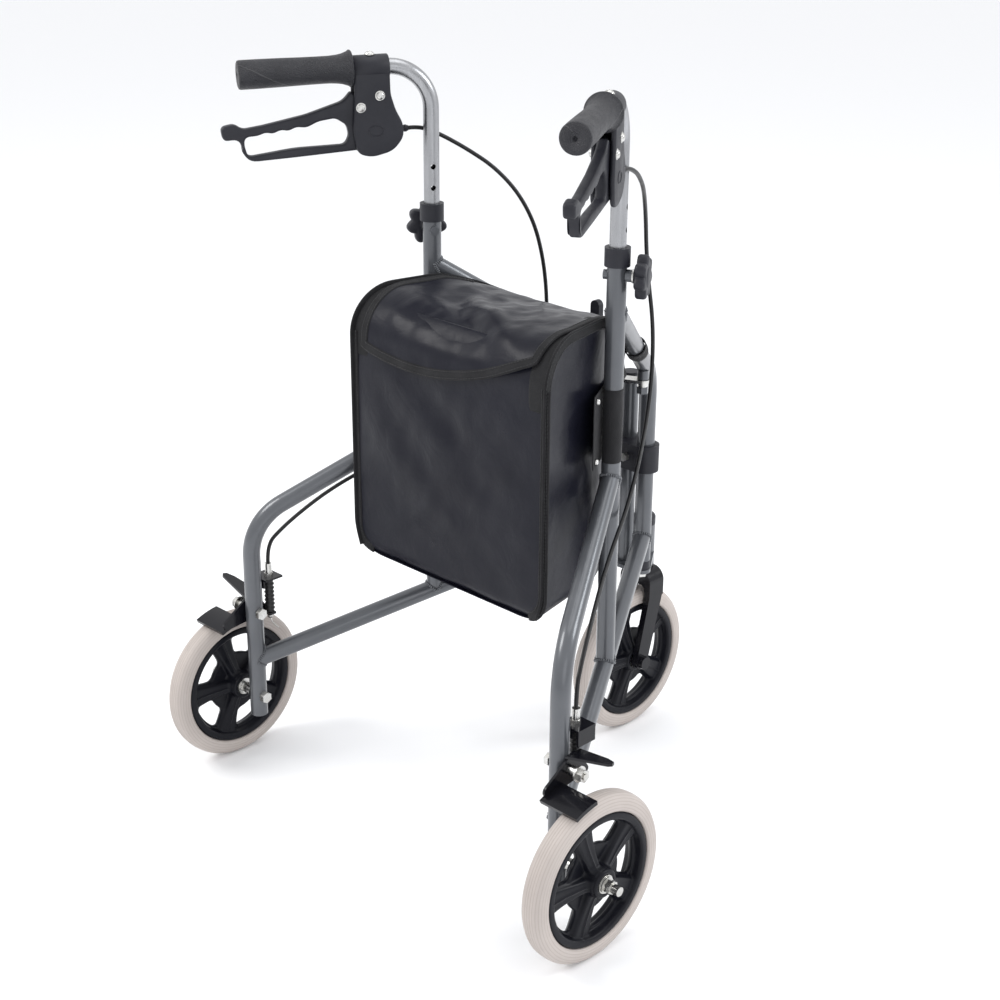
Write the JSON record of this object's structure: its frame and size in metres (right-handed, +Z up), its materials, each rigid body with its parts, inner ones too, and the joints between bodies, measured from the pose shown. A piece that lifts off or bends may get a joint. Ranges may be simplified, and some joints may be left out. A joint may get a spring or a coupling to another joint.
{
  "type": "rollator walker",
  "caption": "Folding three-wheel walking frame with hanging bag, height-adjustable handles, loop brake levers, cable brakes on the rear wheels and a swivelling front caster.",
  "frame": {"origin": "on the ground, under the middle of the bounding box", "axes": "+Z up, +Y the way the walker travels, +X the user's right"},
  "size_m": [0.7152, 0.6226, 0.9136],
  "materials": {
    "frame_paint": "semi-gloss graphite metallic paint",
    "black_paint": "gloss black powder coat",
    "zinc_steel": "bright zinc plate",
    "satin_tube": "satin anodised",
    "black_plastic": "fine moulded texture",
    "wheel_plastic": "moulded, slight sheen",
    "grip_rubber": "stippled",
    "tyre_rubber": "warm grey, fine moulded lines",
    "cable_jacket": "smooth black jacket",
    "bag_vinyl": "soft leatherette with bound edges"
  },
  "bodies": {
    "centre": {"centre_frame": "frame_paint", "centre_caps": "black_plastic", "hinge_bracket_rear": "black_plastic", "hinge_bracket_front": "black_plastic", "hinge_bolts": "zinc_steel", "hinge_bushes": "black_plastic", "stem_bushes": "black_plastic", "bag_shell": "bag_vinyl"},
    "fork": {"fork": "black_paint", "fork_stem": "zinc_steel", "caster_axle": "black_plastic"},
    "caster_wheel": {"caster_tyre": "tyre_rubber", "caster_rim": "wheel_plastic", "caster_bearings": "zinc_steel"},
    "lid": {"bag_lid": "bag_vinyl"},
    "lock_handle": {"lock_handle": "black_plastic"},
    "side_left": {"upright_left": "frame_paint", "front_bow_left": "frame_paint", "rear_leg_left": "frame_paint", "lower_rail_left": "frame_paint", "collar_left": "black_plastic", "brake_bracket_left": "black_paint", "barrel_adjuster_left": "zinc_steel", "rear_axle_left": "zinc_steel", "bag_gusset_left": "bag_vinyl", "brake_cable_left": "cable_jacket"},
    "handle_left": {"handle_tube_left": "satin_tube", "grip_left": "grip_rubber", "brake_housing_left": "black_plastic", "housing_screws_left": "zinc_steel"},
    "lever_left": {"brake_lever_left": "black_plastic"},
    "brake_left": {"brake_arm_left": "black_paint"},
    "wheel_left": {"rear_tyre_left": "tyre_rubber", "rear_rim_left": "wheel_plastic", "wheel_bearings_left": "zinc_steel"},
    "knob_left": {"height_knob_left": "black_plastic", "knob_stud_left": "zinc_steel"},
    "link_left": {"lock_link_left": "zinc_steel"},
    "side_right": {"upright_right": "frame_paint", "front_bow_right": "frame_paint", "rear_leg_right": "frame_paint", "lower_rail_right": "frame_paint", "collar_right": "black_plastic", "brake_bracket_right": "black_paint", "barrel_adjuster_right": "zinc_steel", "rear_axle_right": "zinc_steel", "bag_gusset_right": "bag_vinyl", "brake_cable_right": "cable_jacket"},
    "handle_right": {"handle_tube_right": "satin_tube", "grip_right": "grip_rubber", "brake_housing_right": "black_plastic", "housing_screws_right": "zinc_steel"},
    "lever_right": {"brake_lever_right": "black_plastic"},
    "brake_right": {"brake_arm_right": "black_paint"},
    "wheel_right": {"rear_tyre_right": "tyre_rubber", "rear_rim_right": "wheel_plastic", "wheel_bearings_right": "zinc_steel"},
    "knob_right": {"height_knob_right": "black_plastic", "knob_stud_right": "zinc_steel"},
    "link_right": {"lock_link_right": "zinc_steel"}
  },
  "joints": [
    {"name": "caster_swivel", "type": "hinge", "parent": "centre", "child": "fork", "pos_m": [0, 0.2353, 0.23], "axis": [0, 0, 1], "continuous": true},
    {"name": "caster_spin", "type": "hinge", "parent": "fork", "child": "caster_wheel", "pos_m": [0, 0.2113, 0.1], "axis": [1, 0, 0], "continuous": true},
    {"name": "lid_hinge", "type": "hinge", "parent": "centre", "child": "lid", "pos_m": [0, 0.0896, 0.597], "axis": [-1, 0, 0], "range_deg": [0, 60]},
    {"name": "fold_left", "type": "hinge", "parent": "centre", "child": "side_left", "pos_m": [-0.036, 0.1896, 0.4], "axis": [0, 0, 1], "range_deg": [0, 26], "deforming": ["bag_shell", "bag_lid"]},
    {"name": "height_left", "type": "slide", "parent": "side_left", "child": "handle_left", "axis": [0, 0, 1], "range_m": [-0.0762, 0.0508], "deforming": ["brake_cable_left"]},
    {"name": "lever_left", "type": "hinge", "parent": "handle_left", "child": "lever_left", "pos_m": [-0.19076, -0.08062, 0.84938], "axis": [-0.8678, 0.497, 0], "range_deg": [0, 12], "stiffness_Nm_per_rad": 3},
    {"name": "brake_left", "type": "hinge", "parent": "side_left", "child": "brake_left", "pos_m": [-0.2806, -0.2113, 0.219], "axis": [1, 0, 0], "range_deg": [0, 2.3], "stiffness_Nm_per_rad": 8},
    {"name": "wheel_spin_left", "type": "hinge", "parent": "side_left", "child": "wheel_left", "pos_m": [-0.3156, -0.2113, 0.1], "axis": [1, 0, 0], "continuous": true},
    {"name": "knob_turn_left", "type": "hinge", "parent": "side_left", "child": "knob_left", "pos_m": [-0.16976, 0.00635, 0.7], "axis": [-0.8678, 0.497, 0], "range_deg": [-360, 0]},
    {"name": "lock_link_left", "type": "hinge", "parent": "side_left", "child": "link_left", "pos_m": [-0.05588, 0.15489, 0.512], "axis": [0, 0, 1], "range_deg": [-52.53, 0]},
    {"name": "fold_right", "type": "hinge", "parent": "centre", "child": "side_right", "pos_m": [0.036, 0.1896, 0.4], "axis": [0, 0, 1], "range_deg": [-26, 0]},
    {"name": "height_right", "type": "slide", "parent": "side_right", "child": "handle_right", "axis": [0, 0, 1], "range_m": [-0.0762, 0.0508], "deforming": ["brake_cable_right"]},
    {"name": "lever_right", "type": "hinge", "parent": "handle_right", "child": "lever_right", "pos_m": [0.19076, -0.08062, 0.84938], "axis": [-0.8678, -0.497, 0], "range_deg": [0, 12], "stiffness_Nm_per_rad": 3},
    {"name": "brake_right", "type": "hinge", "parent": "side_right", "child": "brake_right", "pos_m": [0.2806, -0.2113, 0.219], "axis": [1, 0, 0], "range_deg": [0, 2.3], "stiffness_Nm_per_rad": 8},
    {"name": "wheel_spin_right", "type": "hinge", "parent": "side_right", "child": "wheel_right", "pos_m": [0.3156, -0.2113, 0.1], "axis": [1, 0, 0], "continuous": true},
    {"name": "knob_turn_right", "type": "hinge", "parent": "side_right", "child": "knob_right", "pos_m": [0.16976, 0.00635, 0.7], "axis": [0.8678, 0.497, 0], "range_deg": [-360, 0]},
    {"name": "lock_link_right", "type": "hinge", "parent": "side_right", "child": "link_right", "pos_m": [0.05588, 0.15489, 0.512], "axis": [0, 0, 1], "range_deg": [0, 52.53]},
    {"name": "lock_release", "type": "slide", "parent": "link_left", "child": "lock_handle", "axis": [0, 0, 1], "range_m": [0, 0.01], "stiffness_N_per_m": 300}
  ],
  "couplings": [
    {"joint": "brake_left", "follows": "lever_left", "ratio": 0.1833},
    {"joint": "lock_link_left", "follows": "fold_left", "ratio": -2.0164},
    {"joint": "brake_right", "follows": "lever_right", "ratio": 0.1833},
    {"joint": "lock_link_right", "follows": "fold_left", "ratio": 2.0164},
    {"joint": "fold_right", "follows": "fold_left", "ratio": -1}
  ]
}
